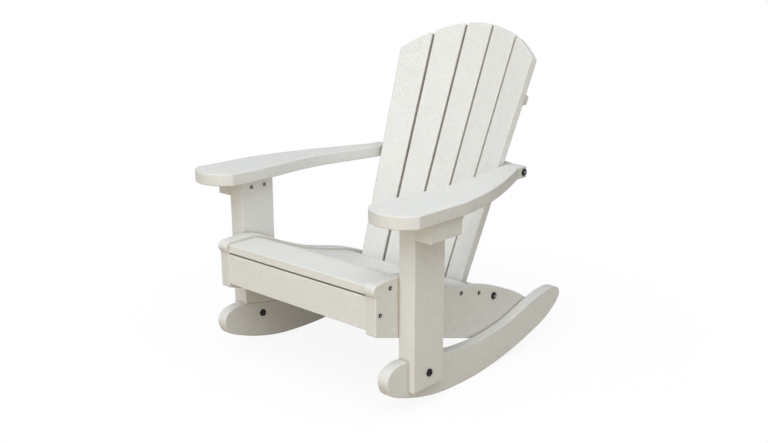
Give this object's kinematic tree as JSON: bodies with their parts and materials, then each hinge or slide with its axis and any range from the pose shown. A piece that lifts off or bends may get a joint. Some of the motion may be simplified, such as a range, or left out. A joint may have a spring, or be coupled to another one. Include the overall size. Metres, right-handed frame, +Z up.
{
  "type": "rocking chair",
  "caption": "Child's rocking adirondack chair of plastic lumber with fanned back slats, paddle arms and curved rockers.",
  "frame": {"origin": "middle of the footprint on the floor", "axes": "+Z up, -Y the way the sitter faces, +X to the sitter's left"},
  "size_m": [0.6138, 0.634, 0.6937],
  "materials": {
    "lumber": "off-white plastic lumber, faintly mottled, matte",
    "black_bolt": "black, satin",
    "screw": "dull stainless"
  },
  "bodies": {
    "root": {"back_slat_outer_right": "lumber", "back_slat_inner_right": "lumber", "back_slat_centre": "lumber", "back_slat_inner_left": "lumber", "back_slat_outer_left": "lumber", "upper_back_brace": "lumber", "arm_back_brace": "lumber", "lower_back_brace": "lumber", "arm_left": "lumber", "arm_right": "lumber", "front_leg_left": "lumber", "front_leg_right": "lumber", "arm_bracket_left": "lumber", "arm_bracket_right": "lumber", "seat_side_left": "lumber", "seat_side_right": "lumber", "rocker_left": "lumber", "rocker_right": "lumber", "front_apron": "lumber", "seat_slat_1": "lumber", "seat_slat_2": "lumber", "seat_slat_3": "lumber", "seat_slat_4": "lumber", "seat_slat_5": "lumber", "leg_bolts": "black_bolt", "leg_nuts": "black_bolt", "arm_brace_bolts": "black_bolt", "lower_brace_bolts": "black_bolt", "upper_brace_screws": "screw", "arm_brace_screws": "screw", "lower_brace_screws": "screw", "seat_slat_screws": "screw", "apron_screws": "screw", "leg_screws": "screw", "rocker_screws": "screw", "bracket_screws": "screw", "arm_screws": "screw"}
  },
  "joints": []
}
